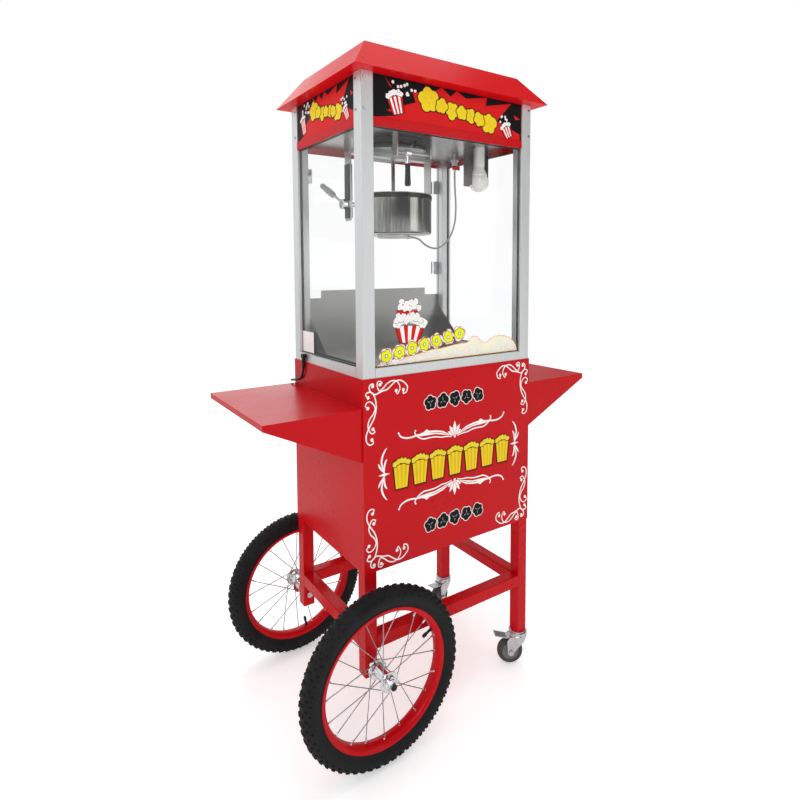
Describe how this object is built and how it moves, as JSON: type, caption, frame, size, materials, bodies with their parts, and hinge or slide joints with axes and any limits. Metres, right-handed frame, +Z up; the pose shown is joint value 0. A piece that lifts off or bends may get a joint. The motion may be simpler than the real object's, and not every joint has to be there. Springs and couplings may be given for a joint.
{
  "type": "popcorn cart",
  "caption": "Red popcorn cart: glazed popping cabinet with tilting kettle, lamp and rear doors, on a box cart with side shelves, two spoked wheels and braked casters.",
  "frame": {"origin": "on the floor under the middle of the cart body", "axes": "+Z up; -Y towards the customers' side, which has the closed front panel; +X towards the caster end, so the spoked wheels are at -X"},
  "size_m": [0.982, 0.562, 1.6081],
  "materials": {
    "red_paint": "gloss powder coat",
    "tyre_rubber": "matt knobbly rubber",
    "bright_plate": "bright plated steel",
    "zinc_steel": "zinc plated pressed steel",
    "caster_rubber": "grey elastic tread",
    "alloy": "satin anodised extrusion",
    "clear_glass": "clear",
    "stainless": "fine brushed stainless",
    "grey_grip": "grey moulded grip",
    "black_plastic": "black moulded",
    "ceramic_white": "white glazed lampholder",
    "bulb_glass": "frosted white",
    "braid": "grey woven sleeve"
  },
  "bodies": {
    "root": {"frame_legs": "red_paint", "frame_rails": "red_paint", "cart_front_panel": "red_paint", "cart_side_panels": "red_paint", "cart_top_panel": "red_paint", "cart_floor_panel": "red_paint", "cart_back_frame": "red_paint", "shelf_left": "red_paint", "shelf_right": "red_paint", "header_panels": "red_paint", "roof": "red_paint", "axle_stubs": "bright_plate", "panel_screws": "bright_plate", "caster_stems": "zinc_steel", "drive_motor": "zinc_steel", "cabinet_frame": "alloy", "front_glass": "clear_glass", "side_glass": "clear_glass", "popcorn_deck": "stainless", "ceiling_plate": "stainless", "steam_hood": "stainless", "kettle_hangers": "stainless", "lamp_shade": "stainless", "kettle_connector": "stainless", "mains_gland": "black_plastic", "mains_cord": "black_plastic", "mains_coil": "black_plastic", "mains_plug": "black_plastic", "lamp_socket": "ceramic_white", "lamp_bulb": "bulb_glass", "kettle_cable": "braid"},
    "front_wheel": {"front_tyre": "tyre_rubber", "front_rim": "red_paint", "front_spokes": "bright_plate", "front_hub": "bright_plate"},
    "rear_wheel": {"rear_tyre": "tyre_rubber", "rear_rim": "red_paint", "rear_spokes": "bright_plate", "rear_hub": "bright_plate"},
    "storage_door": {"storage_door": "red_paint"},
    "left_door": {"left_cabinet_door": "clear_glass", "left_door_fittings": "bright_plate"},
    "right_door": {"right_cabinet_door": "clear_glass", "right_door_fittings": "bright_plate"},
    "kettle": {"kettle_pot": "stainless", "kettle_lid": "stainless", "dump_handle": "grey_grip"},
    "kettle_flap": {"kettle_flap": "stainless"},
    "agitator": {"agitator": "stainless"},
    "drive_spindle": {"drive_spindle": "stainless"},
    "release_lever": {"release_lever": "black_plastic"},
    "rocker_light": {"rocker_light": "black_plastic"},
    "rocker_motor": {"rocker_motor": "black_plastic"},
    "rocker_heat": {"rocker_heat": "black_plastic"},
    "front_caster": {"front_caster_fork": "zinc_steel"},
    "front_caster_wheel": {"front_caster_wheel": "caster_rubber"},
    "front_caster_pedal": {"front_caster_pedal": "zinc_steel"},
    "rear_caster": {"rear_caster_fork": "zinc_steel"},
    "rear_caster_wheel": {"rear_caster_wheel": "caster_rubber"},
    "rear_caster_pedal": {"rear_caster_pedal": "zinc_steel"}
  },
  "joints": [
    {"name": "front_wheel_spin", "type": "hinge", "parent": "root", "child": "front_wheel", "pos_m": [-0.2438, -0.235, 0.203], "axis": [0, 1, 0], "continuous": true},
    {"name": "rear_wheel_spin", "type": "hinge", "parent": "root", "child": "rear_wheel", "pos_m": [-0.2438, 0.235, 0.203], "axis": [0, 1, 0], "continuous": true},
    {"name": "front_caster_swivel", "type": "hinge", "parent": "root", "child": "front_caster", "pos_m": [0.2438, -0.1688, 0.09], "axis": [0, 0, 1], "continuous": true},
    {"name": "front_caster_roll", "type": "hinge", "parent": "front_caster", "child": "front_caster_wheel", "pos_m": [0.22475, -0.1578, 0.036], "axis": [-0.5, -0.866, 0], "continuous": true},
    {"name": "front_caster_brake", "type": "hinge", "parent": "front_caster", "child": "front_caster_pedal", "pos_m": [0.23168, -0.1618, 0.0746], "axis": [-0.5, -0.866, 0], "range_deg": [0, 10]},
    {"name": "rear_caster_swivel", "type": "hinge", "parent": "root", "child": "rear_caster", "pos_m": [0.2438, 0.1688, 0.09], "axis": [0, 0, 1], "continuous": true},
    {"name": "rear_caster_roll", "type": "hinge", "parent": "rear_caster", "child": "rear_caster_wheel", "pos_m": [0.22255, 0.16311, 0.036], "axis": [0.2588, -0.9659, 0], "continuous": true},
    {"name": "rear_caster_brake", "type": "hinge", "parent": "rear_caster", "child": "rear_caster_pedal", "pos_m": [0.23028, 0.16518, 0.0746], "axis": [0.2588, -0.9659, 0], "range_deg": [0, 10]},
    {"name": "storage_door_hinge", "type": "hinge", "parent": "root", "child": "storage_door", "pos_m": [0.226, 0.1913, 0.64], "axis": [0, 0, 1], "range_deg": [-110, 0]},
    {"name": "left_door_hinge", "type": "hinge", "parent": "root", "child": "left_door", "pos_m": [-0.22, 0.18, 1.09], "axis": [0, 0, 1], "range_deg": [0, 100]},
    {"name": "right_door_hinge", "type": "hinge", "parent": "root", "child": "right_door", "pos_m": [0.22, 0.18, 1.09], "axis": [0, 0, 1], "range_deg": [-100, 0]},
    {"name": "kettle_tilt", "type": "hinge", "parent": "root", "child": "kettle", "pos_m": [-0.03, 0.04, 1.275], "axis": [1, 0, 0], "range_deg": [0, 100], "deforming": ["kettle_cable"]},
    {"name": "kettle_flap_hinge", "type": "hinge", "parent": "kettle", "child": "kettle_flap", "pos_m": [-0.03, 0.0275, 1.30701], "axis": [1, 0, 0], "range_deg": [-80, 0]},
    {"name": "agitator_spin", "type": "hinge", "parent": "kettle", "child": "agitator", "pos_m": [-0.03, 0.04, 1.3], "axis": [0, 0, 1], "continuous": true},
    {"name": "drive_spin", "type": "hinge", "parent": "root", "child": "drive_spindle", "pos_m": [-0.03, 0.04, 1.42], "axis": [0, 0, 1], "continuous": true},
    {"name": "release_lever_hinge", "type": "hinge", "parent": "root", "child": "release_lever", "pos_m": [-0.076, -0.096, 1.392], "axis": [1, 0, 0], "range_deg": [-50, 0]},
    {"name": "rocker_light_tip", "type": "hinge", "parent": "root", "child": "rocker_light", "pos_m": [-0.05, 0.18, 1.486], "axis": [1, 0, 0], "range_deg": [-12, 0]},
    {"name": "rocker_motor_tip", "type": "hinge", "parent": "root", "child": "rocker_motor", "pos_m": [0, 0.18, 1.486], "axis": [1, 0, 0], "range_deg": [-12, 0]},
    {"name": "rocker_heat_tip", "type": "hinge", "parent": "root", "child": "rocker_heat", "pos_m": [0.05, 0.18, 1.486], "axis": [1, 0, 0], "range_deg": [-12, 0]}
  ],
  "couplings": [
    {"joint": "agitator_spin", "follows": "drive_spin", "ratio": 1}
  ]
}
